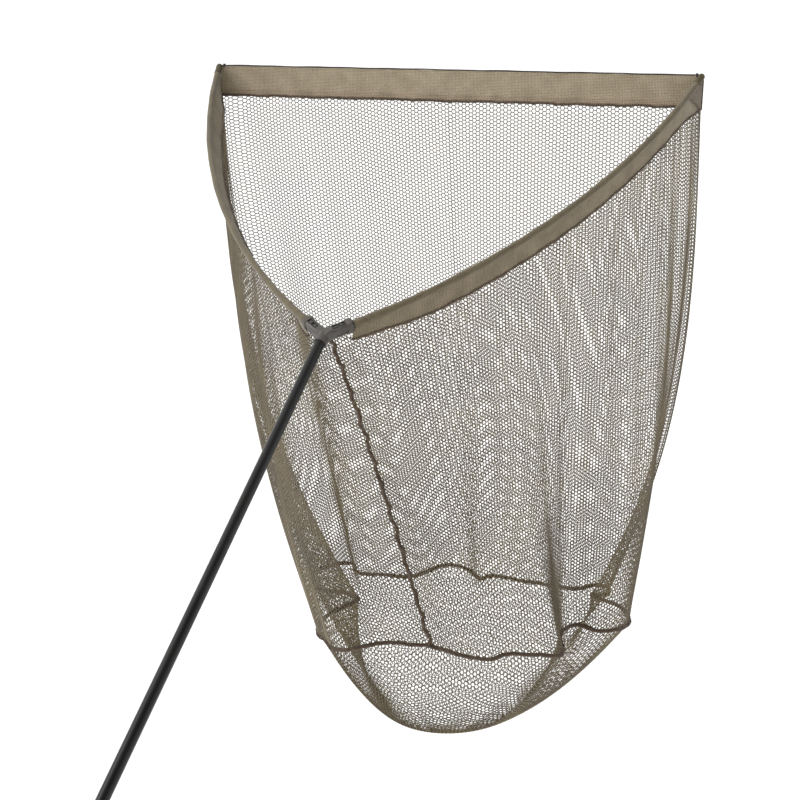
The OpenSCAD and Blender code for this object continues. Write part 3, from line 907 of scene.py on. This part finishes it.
def whip_tree():
    """A path in, leaning loops of thread out, one at each pitch. Inputs: Stitch pitch,
    Loop width, Loop height, Thread radius, Lean, Stitch seed, Thread material."""
    tree = bpy.data.node_groups.new("whipped thread", "GeometryNodeTree")
    face = tree.interface
    face.new_socket("Geometry", in_out="INPUT", socket_type="NodeSocketGeometry")
    for name in ("Stitch pitch", "Loop width", "Loop height", "Thread radius", "Lean"):
        face.new_socket(name, in_out="INPUT", socket_type="NodeSocketFloat")
    face.new_socket("Stitch seed", in_out="INPUT", socket_type="NodeSocketInt")
    face.new_socket("Thread material", in_out="INPUT", socket_type="NodeSocketMaterial")
    face.new_socket("Geometry", in_out="OUTPUT", socket_type="NodeSocketGeometry")
    start = add_node(tree, "NodeGroupInput")
    path = add_node(tree, "GeometryNodeMeshToCurve", Mesh=start.outputs["Geometry"])
    stops = add_node(tree, "GeometryNodeCurveToPoints", {"mode": "LENGTH"}, Curve=path.outputs["Curve"],
                     Length=start.outputs["Stitch pitch"])
    loop = add_node(tree, "GeometryNodeCurvePrimitiveCircle", {"mode": "RADIUS"}, Resolution=9, Radius=0.5)
    size = add_node(tree, "ShaderNodeCombineXYZ", X=start.outputs["Loop height"],
                    Y=start.outputs["Loop width"], Z=1.0)
    oval = add_node(tree, "GeometryNodeTransform", Geometry=loop.outputs["Curve"],
                    Scale=size.outputs["Vector"])
    thread = add_node(tree, "GeometryNodeCurvePrimitiveCircle", {"mode": "RADIUS"}, Resolution=4,
                      Radius=start.outputs["Thread radius"])
    ring_mesh = add_node(tree, "GeometryNodeCurveToMesh", Curve=oval.outputs["Geometry"])
    tree.links.new(thread.outputs["Curve"], ring_mesh.inputs["Profile Curve"])
    lean_by = add_node(tree, "FunctionNodeRandomValue", {"data_type": "FLOAT"},
                       Seed=start.outputs["Stitch seed"])
    low = add_node(tree, "ShaderNodeMath", {"operation": "MULTIPLY"}, i0=start.outputs["Lean"], i1=0.4)
    tree.links.new(low.outputs[0], lean_by.inputs[2])
    tree.links.new(start.outputs["Lean"], lean_by.inputs[3])
    lean = add_node(tree, "ShaderNodeCombineXYZ", X=lean_by.outputs[1])
    turned = add_node(tree, "FunctionNodeRotateRotation", {"rotation_space": "LOCAL"})
    tree.links.new(stops.outputs["Rotation"], turned.inputs[0])
    tree.links.new(lean.outputs["Vector"], turned.inputs[1])
    swell = add_node(tree, "FunctionNodeRandomValue", {"data_type": "FLOAT"},
                     Seed=start.outputs["Stitch seed"])
    swell.inputs[2].default_value = 0.86
    swell.inputs[3].default_value = 1.14
    loops = add_node(tree, "GeometryNodeInstanceOnPoints", Points=stops.outputs["Points"],
                     Instance=ring_mesh.outputs["Mesh"], Rotation=turned.outputs["Rotation"],
                     Scale=swell.outputs[1])
    real = add_node(tree, "GeometryNodeRealizeInstances", Geometry=loops.outputs["Instances"])
    soft = add_node(tree, "GeometryNodeSetShadeSmooth", Geometry=real.outputs["Geometry"])
    painted = add_node(tree, "GeometryNodeSetMaterial", Geometry=soft.outputs["Geometry"])
    tree.links.new(start.outputs["Thread material"], painted.inputs["Material"])
    end = add_node(tree, "NodeGroupOutput")
    tree.links.new(painted.outputs["Geometry"], end.inputs["Geometry"])
    return tree


whipping = whip_tree()


def path_object(name, path):
    """A mesh that is only a chain of edges, for Geometry Nodes to follow."""
    n = len(path)
    return new_object(name, path, [], edges=np.stack([np.arange(n - 1), np.arange(1, n)], -1))


def bound_seam(name, path, width, height, side, nodes_for, seed, core=seam_thread,
               thread=seam_thread, wander=1.0 * MM, up=(0, 0, 1)):
    """A rolled seam along a path: a core that wanders a little, and the thread around it."""
    rng = np.random.default_rng(seed)
    path = np.array(path, float)
    along = lengths_along(path)
    count = max(int(along[-1] / (5 * MM)), 8)
    stops = np.linspace(0, along[-1], count)
    path = np.column_stack([np.interp(stops, along, path[:, k]) for k in range(3)])
    across_path, rise = frames_along(path, up)
    fade = np.minimum(1, np.minimum(stops, stops[-1] - stops) / (15 * MM))
    for wave, share in ((0.055, 0.6), (0.021, 0.4)):
        a, b = rng.uniform(0, 2 * np.pi, 2)
        path += (np.sin(2 * np.pi * stops / wave + a) * fade * share * wander)[:, None] * across_path
        path += (np.sin(2 * np.pi * stops / (wave * 1.3) + b) * fade * share * wander)[:, None] * rise
    knots = np.arange(0, count + 8, 8)
    swell = 1 + 0.16 * np.interp(np.arange(count), knots, rng.uniform(-1, 1, len(knots)))
    core_piece = smooth(tube(name, path, width * 0.8 * swell, height * 0.8 * swell, 10, up=up), core)
    loops = path_object(name + "_thread", path)
    loops = use_tree(loops, whipping, stitch_pitch=STITCH, loop_width=width * 0.9,
                     loop_height=height * 0.9, thread_radius=THREAD_R, lean=0.7, stitch_seed=seed,
                     thread_material=thread)
    for piece in (core_piece, loops):
        hang_on(piece, side)
        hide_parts(*nodes_for)
    print(f"{name}: {along[-1]:.2f} m, {len(loops.data.polygons)} faces of thread")
    return core_piece


print("tree:", whipping.name)

# %% Seams of the bag
def ring_path(first, last):
    """Fine path along the ring seam between two columns."""
    columns = np.linspace(first, last, int(abs(last - first) * 3) + 1)
    closed_ring = walls[-1]
    return sample_grid(np.stack([closed_ring, closed_ring]), np.zeros_like(columns), columns % COLUMNS,
                       closed=True)


bound_seam("ring_seam_right", ring_path(-0.2, 84.2), 10.5 * MM, 10 * MM, 1, ["base_ring_seam"],
           11)
bound_seam("ring_seam_left", ring_path(83.8, 168.2), 10.5 * MM, 10 * MM, -1, ["base_ring_seam"],
           12)
bound_seam("spine", walls[:, 0], 8.6 * MM, 8.6 * MM, 0, ["spine_seam"], 13,
           wander=3.6 * MM, up=(0, 1, 0))

# %% [markdown]
# ## Bands of close cloth
#
# A strip of close-woven mesh hangs under each arm and under the front cord, so that the coarse
# netting never rubs on the rim. It is a flat strip sewn to a curve, so it stands a little proud
# in soft waves. The strip is a grid with its own UV map in metres, thickened to a cloth.

# %% Side bands
SLEEVE_R = 6.1 * MM            # outer radius of the cloth sleeve on an arm
BAND_START = STRAIGHT - 5 * MM
CLOTH = 0.9 * MM               # thickness of the band cloth


def wave_of(rng, lengths, depth, waves):
    """A smooth random swell along a length; waves are wavelengths in metres."""
    total = 0
    for wave in waves:
        total = total + np.sin(2 * np.pi * lengths / wave + rng.uniform(0, 2 * np.pi)) / len(waves)
    return depth * total


HEM = 13 * MM                  # height of the turned hem


def add_hem(obj, depth_at):
    """Gives the lowest part of a band its hem, where the cloth is turned up and looks coarser."""
    obj.data.materials.append(hem_cloth)
    cloth = obj.data.uv_layers["cloth"].data
    flat = np.zeros(2 * len(cloth))
    cloth.foreach_get("uv", flat)
    faces = obj.data.polygons
    starts, totals = np.zeros(len(faces), int), np.zeros(len(faces), int)
    faces.foreach_get("loop_start", starts)
    faces.foreach_get("loop_total", totals)
    middle = np.add.reduceat(flat.reshape(-1, 2), starts, axis=0) / totals[:, None]
    hem = middle[:, 1] > depth_at(np.abs(middle[:, 0])) - HEM
    faces.foreach_set("material_index", hem.astype(np.int32))


def side_band(side):
    """Strip from under the sleeve down to the bound edge, from the block to the tip."""
    rng = np.random.default_rng(31 + side)
    name = "band_" + LABEL[side]
    stops = np.linspace(BAND_START, arm_length - 4 * MM, 150)
    levels = np.linspace(0, 1, 9)
    line = arm_line(stops, side)
    top = 4.5 * MM
    low = edge_drop(stops)
    down = top + (low - top)[:, None] * levels[None]
    points = line[:, None] + band_fall(stops, side)[:, None] * down[..., None]
    outward = np.array([side * 0.86, -0.5, 0])
    swell = wave_of(rng, stops, 1.6 * MM, (0.31, 0.17, 0.083))
    belly = np.sin(np.pi * levels) * 0.8 + levels * 0.4
    points += (swell[:, None] * belly[None])[..., None] * outward
    uvs = np.stack(np.broadcast_arrays(stops[:, None], down), -1).reshape(-1, 2)
    obj = new_object(name, points.reshape(-1, 3), grid_faces(len(stops), len(levels)), uvs)
    smooth(thicken(obj, CLOTH), side_cloth)
    seam_line = points[:, 0] - (0, 0, 2.6 * MM)
    stitched = tube(name + "_stitching", seam_line, 2.6 * MM, 2.4 * MM, 8, twist=150, ridge=0.2)
    smooth(stitched, cord_braid)
    hang_on(stitched, side)
    hang_on(obj, side)
    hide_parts("side_band_right" if side > 0 else "side_band_left")
    return points


side_bands = {side: side_band(side) for side in (1, -1)}
for side, label in LABEL.items():
    bound_seam("band_edge_" + label, side_bands[side][:, -1][::2], 5.5 * MM, 7 * MM, side,
               ["side_binding_" + label], 21 + side, core=hem_thread,
               wander=0.9 * MM)
print("side bands", {k: v.shape for k, v in side_bands.items()})

# %% Front band
FRONT_HALF = tip.x - 1.5 * MM
BELOW_CORD = 1.2 * MM          # the band starts just under the cord


def front_band(side):
    """Half of the front strip, from the middle of the cord to one tip."""
    rng = np.random.default_rng(41)
    name = "front_band_" + LABEL[side]
    x = np.linspace(0, FRONT_HALF, 120) * side
    levels = np.linspace(0, 1, 11)
    swell = wave_of(rng, x + 1, 1.5 * MM, (0.37, 0.19, 0.11))
    sag = wave_of(rng, x + 1, 1.3 * MM, (0.29, 0.12, 0.067))
    down = BELOW_CORD + (TIP_DROP - BELOW_CORD + sag)[:, None] * levels[None]
    points = np.zeros((len(x), len(levels), 3))
    points[..., 0] = x[:, None]
    points[..., 1] = tip.y + (swell[:, None] * np.sin(np.pi * levels * 0.8)[None])
    points[..., 2] = tip.z - down
    uvs = np.stack(np.broadcast_arrays(x[:, None], down), -1).reshape(-1, 2)
    obj = new_object(name, points.reshape(-1, 3), grid_faces(len(x), len(levels)), uvs)
    smooth(thicken(obj, CLOTH), band_cloth)
    add_hem(obj, lambda x: TIP_DROP)
    hang_on(obj, side)
    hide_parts("front_band")
    return points


front_bands = {side: front_band(side) for side in (1, -1)}
for side, label in LABEL.items():
    bound_seam("front_edge_" + label, front_bands[side][:, -1][::2], 6 * MM, 8.5 * MM, side,
               ["front_binding"], 25 + side, core=hem_thread, wander=0.9 * MM)
    cord = arm_line([arm_length], side)[0] + np.linspace([0, 0, 0], [-side * tip.x, 0, 0], 60)
    cord[:, 2] += wave_of(np.random.default_rng(5), cord[:, 0] + 1, 0.5 * MM, (0.21, 0.09))
    piece = smooth(tube("cord_" + label, cord, 3 * MM, 3 * MM, 10, twist=55, ridge=0.12), cord_braid)
    hang_on(piece, side)
    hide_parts("tension_cord")

# %% [markdown]
# ## Sleeves, corners and tips
#
# A sleeve of woven nylon is sewn around each arm. It is a tube a little wider than the arm, with
# gathers where it is pushed back from the block. At the tip it ends in a moulded cap, and a
# triangle of proofed cloth takes the pull of the cord and the bag.

# %% Sleeves
def sleeve(side):
    """Cloth tube around an arm, with gathers near the block and a low seam below."""
    label = LABEL[side]
    stops = np.concatenate([np.linspace(STRAIGHT - 3 * MM, STRAIGHT + 110 * MM, 90),
                            np.linspace(STRAIGHT + 112 * MM, arm_length - 14 * MM, 190)])
    path = arm_line(stops, side)
    sides = 20
    across_path, rise = frames_along(path)
    turn = np.linspace(0, 2 * np.pi, sides + 1)
    rng = np.random.default_rng(51 + side)
    near = 1 - ease((stops - STRAIGHT) / (130 * MM))
    radius = np.full((len(stops), sides + 1), SLEEVE_R)
    wrinkle = wave_of(rng, stops, 1.0, (0.017, 0.011, 0.027))[:, None] * (
        0.6 + 0.4 * np.cos(turn - rng.uniform(0, 6))[None])
    radius += (0.35 * MM + 1.3 * MM * near)[:, None] * wrinkle
    radius += 2.2 * MM * near[:, None]
    radius += wave_of(rng, stops, 0.5 * MM, (0.19, 0.09))[:, None]
    lip = np.maximum(0, -np.sin(turn)) ** 8
    radius += 1.6 * MM * lip[None]
    points = path[:, None] + across_path[:, None] * (np.cos(turn) * radius)[..., None]
    points = points + rise[:, None] * (np.sin(turn) * radius)[..., None]
    uvs = np.stack(np.broadcast_arrays(stops[:, None], (turn * SLEEVE_R)[None]), -1).reshape(-1, 2)
    obj = new_object("sleeve_" + label + "_cloth", points.reshape(-1, 3),
                     grid_faces(len(stops), sides + 1), uvs)
    tidy(obj)
    smooth(thicken(obj, 0.7 * MM), sleeve_cloth)
    hang_on(obj, side)
    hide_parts("sleeve_" + label)
    return obj


for side in (1, -1):
    sleeve(side)

# %% Corner patches and tip caps
PATCH_L = 78 * MM


def tip_axes(side):
    """Axes at a tip: along the arm, and outwards."""
    pair = arm_line([arm_length - 30 * MM, arm_length], side)
    along = (pair[1] - pair[0]) / np.linalg.norm(pair[1] - pair[0])
    out = np.cross(along, [0, 0, 1]) * side
    out /= np.linalg.norm(out)
    return along, out


def corner_patch(side):
    """Triangle of doubled cloth: along the arm, down the corner and back up to the sleeve."""
    label = LABEL[side]
    _, out = tip_axes(side)
    n = 16
    points, uvs = [], []
    for i in range(n + 1):
        back = PATCH_L * i / n
        base_line = arm_line([arm_length - back], side)[0]
        depth = TIP_DROP * (1 - i / n) + 5 * MM
        for k in range(n + 1):
            down = 3 * MM + (depth - 3 * MM) * k / n
            bulge = 1.4 * MM + 1.6 * MM * math.sin(math.pi * k / n) * math.sin(math.pi * i / n)
            fall = band_fall([arm_length - back], side)[0]
            points.append(base_line + fall * down + out * bulge)
            uvs.append((back, down))
    obj = new_object("corner_cloth_" + label, points, grid_faces(n + 1, n + 1), uvs)
    smooth(thicken(obj, 1.1 * MM), patch_cloth)
    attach(obj, "arm_" + label)
    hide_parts("corner_patch_" + label)
    grid = np.array(points).reshape(n + 1, n + 1, 3) + out * 0.9 * MM
    piping = np.concatenate([grid[0], grid[1:, -1]])
    edge = smooth(tube("corner_piping_" + label, spline(piping, 60, closed=False), 3.2 * MM,
                       3.2 * MM, 8, twist=90, ridge=0.15, up=out), seam_thread)
    line = np.array([grid[i, int(n * 0.16)] for i in range(1, n - 2)]) + out * 0.2 * MM
    stitch_line = smooth(tube("corner_stitching_" + label, spline(line, 60, closed=False), 1.5 * MM,
                              1.2 * MM, 8, twist=160, ridge=0.3, up=out), seam_thread)
    for piece in (edge, stitch_line):
        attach(piece, "arm_" + label)
    return obj


def tip_cap(side):
    """A moulded cap on the arm's end: a barrel that swells, then a blunt nose, with a lip."""
    label = LABEL[side]
    # Distance past the end of the arm and radius there, in millimetres
    profile = ((-34, 6.9), (-33.4, 7.4), (-31, 7.6), (-29, 7.0), (-22, 6.8), (-12, 7.2), (-6, 7.2),
               (-3, 6.8), (-1.2, 5.9), (0.2, 4.0), (0.9, 2.0), (1.1, 0.05))
    stops = np.array([p[0] for p in profile]) * MM
    radii = np.array([p[1] for p in profile]) * MM
    path = arm_line(arm_length + np.minimum(stops, 0) - 1 * MM, side)
    along, out = tip_axes(side)
    path += np.outer(np.maximum(stops, 0), along)
    obj = tube("tip_cap_" + label + "_moulded", path, radii * 2, radii * 2, 28, up=out)
    smooth(obj, cap_nylon)
    bevel = obj.modifiers.new("rounding", "SUBSURF")
    bevel.levels = bevel.render_levels = 1
    apply_modifiers(obj)
    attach(obj, "arm_" + label)
    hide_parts("tip_cap_" + label)
    return obj


def knot(side):
    """The cord's stop knot: a small pretzel of the same braid, drawn tight."""
    label = LABEL[side]
    low, high = (np.array(p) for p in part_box("cord_knot_" + label))
    centre = (low + high) / 2
    t = np.linspace(0, 2 * np.pi, 72, endpoint=False)
    loops = np.stack([np.sin(t) + 2 * np.sin(2 * t), np.cos(t) - 2 * np.cos(2 * t),
                      -np.sin(3 * t)], -1)
    loops = loops[:, [2, 0, 1]] * 1.25 * MM + centre
    loops = np.vstack([loops, loops[:1]])
    obj = smooth(tube("knot_" + label, loops, 2.8 * MM, 2.8 * MM, 8, twist=150, ridge=0.1), cord_braid)
    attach(obj, "arm_" + label)
    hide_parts("cord_knot_" + label)


for side in (1, -1):
    corner_patch(side)
    tip_cap(side)
    knot(side)
print("corners and tips made")

# %% [markdown]
# ## Small pieces on the block
#
# Each socket has two shallow panels on top, and what the eye sees of a panel is its raised frame, black as
# painted shade.
# A strap around each socket holds the sleeve to the block.

# %% Framed panels on the block's sockets
PANEL_LENGTH, PANEL_HALF = 12 * MM, 4.2 * MM
PANEL_CORNER = 0.35            # power that squares the frame's round outline
PANELS_AT = (27 * MM, 42 * MM)


def socket_panel(side, at):
    """The raised edge of a panel on top of a socket: a rounded frame, black as painted shade for the line
    around the panel.
    """
    label = LABEL[side]
    along = np.array(socket_axis) * (side, 1, 1)
    plane_up = np.cross(across, np.array(forward))
    side_way = np.cross(plane_up, along)
    turn = np.linspace(0, 2 * np.pi, 61)
    x = np.sign(np.cos(turn)) * np.abs(np.cos(turn)) ** PANEL_CORNER * PANEL_LENGTH / 2
    y = np.sign(np.sin(turn)) * np.abs(np.sin(turn)) ** PANEL_CORNER * PANEL_HALF
    # The frame lies on the highest part of the block's own surface around this place
    axis_point = arm_line([at], side)[0]
    skin = block_points - axis_point
    near = (np.abs(skin @ along) < 12 * MM) & (np.abs(skin @ side_way) < 7 * MM)
    middle = axis_point + plane_up * ((skin[near] @ plane_up).max() + 0.2 * MM)
    frame_path = middle + x[:, None] * along + y[:, None] * side_way
    piece = tube(f"panel_{label}_{round(at / MM)}", frame_path, 2.4 * MM, 1.6 * MM, 8, up=plane_up)
    # The frame's black is painted shade: the dark line around the panel
    smooth(piece, panel_shade_black)
    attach(piece, "head")


block_points = np.array([v.co for v in nodes["spreader_block"].data.vertices])
for side in (1, -1):
    for at in PANELS_AT:
        socket_panel(side, at)
print(2 * len(PANELS_AT), "panels on the block")

# %% Ties that hold the sleeves to the block
TIE_AT = 52.5 * MM             # place of a tie's middle along its arm
TIE_WIDE, TIE_TALL = 11.6 * MM, 12.1 * MM            # half sizes of its loop
TIE_HALF = 4.3 * MM            # half the width of the strap
TIE_CORNER = 0.42              # power that squares its round loop


def sleeve_tie(side):
    """A narrow strap drawn tight around a socket, a little crowned across its width."""
    label = LABEL[side]
    along = np.array(socket_axis) * (side, 1, 1)
    below = np.cross(np.array(forward), across)
    centre = arm_line([TIE_AT], side)[0]
    side_way = np.cross(below, along)
    turn = np.linspace(0, 2 * np.pi, 49)
    x = np.sign(np.cos(turn)) * np.abs(np.cos(turn)) ** TIE_CORNER * TIE_WIDE
    z = np.sign(np.sin(turn)) * np.abs(np.sin(turn)) ** TIE_CORNER * TIE_TALL
    widths = np.linspace(-1, 1, 7) * TIE_HALF
    crown = 0.25 * MM * (1 - (widths / TIE_HALF) ** 4)
    loop = centre + x[:, None] * side_way + z[:, None] * below
    outward = loop - centre
    outward /= np.linalg.norm(outward, axis=1)[:, None]
    points = loop[:, None] + widths[None, :, None] * along + crown[None, :, None] * outward[:, None]
    around = lengths_along(loop)
    uvs = np.stack(np.broadcast_arrays(around[:, None], widths[None]), -1).reshape(-1, 2)
    obj = new_object("tie_" + label, points.reshape(-1, 3), grid_faces(len(loop), len(widths)), uvs)
    tidy(obj)
    smooth(thicken(obj, 0.9 * MM), tie_cloth)
    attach(obj, "head")
    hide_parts("sleeve_tie_" + label)


for side in (1, -1):
    sleeve_tie(side)

# %% [markdown]
# ## Floor and light
#
# The net is shown in a plain white studio: a white floor that runs far back, a sky that is white
# but for one dim patch high on the right, and one large soft lamp above on the left. The lamp
# lights the left of each round piece, and the dim patch leaves its right side darker.

# %% Studio
FLOOR_Z = -1.45
SKY, DIM_SKY = 1.02, 0.15                  # strength of the white sky, and of its dim patch
DIM_TOWARDS = (0.5, -0.33, 0.8)
DIM_EDGE, DIM_CORE = 0.62, 0.95            # cosines from that direction where dimming starts and ends
LAMP_POWER = 1.9
LAMP_ANGLE = 28                            # degrees that the lamp covers, for soft shadows
LAMP_TOWARDS = (1.0, 0.35, -1.15)


def studio():
    """White floor, white sky with a dim patch, and one soft lamp."""
    corners = ((-60, -30), (60, -30), (60, 90), (-60, 90))
    floor = new_object("floor", [(x, y, FLOOR_Z) for x, y in corners], [(0, 1, 2, 3)])
    paint, _, body = new_material("matt studio paint", "#ffffff", 0.95)
    body.inputs["Specular IOR Level"].default_value = 0.0
    floor.data.materials.append(paint)
    world = bpy.data.worlds.new("studio")
    world.use_nodes = True
    world.node_tree.nodes["Background"].inputs["Color"].default_value = (1, 1, 1, 1)
    glow = world.node_tree.nodes["Background"].inputs["Strength"]
    look = add_node(world.node_tree, "ShaderNodeTexCoord").outputs["Generated"]
    dim_side = add_node(world.node_tree, "ShaderNodeVectorMath", {"operation": "DOT_PRODUCT"},
                        i0=look)
    dim_side.inputs[1].default_value = Vector(DIM_TOWARDS).normalized()
    soft = add_node(world.node_tree, "ShaderNodeMapRange", {"interpolation_type": "SMOOTHSTEP"},
                    Value=dim_side.outputs["Value"], From_Min=DIM_EDGE, From_Max=DIM_CORE,
                    To_Min=SKY, To_Max=DIM_SKY)
    world.node_tree.links.new(soft.outputs["Result"], glow)
    bpy.context.scene.world = world
    # Under this view, white paint stays white and the hex tints come out as given
    bpy.context.scene.view_settings.view_transform = "Standard"
    lamp_data = bpy.data.lights.new("key", "SUN")
    lamp_data.energy = LAMP_POWER
    lamp_data.angle = math.radians(LAMP_ANGLE)
    lamp = bpy.data.objects.new("key", lamp_data)
    lamp.rotation_euler = Vector(LAMP_TOWARDS).to_track_quat("-Z", "Y").to_euler()
    bpy.context.scene.collection.objects.link(lamp)


studio()
print("floor, sky and key light set")
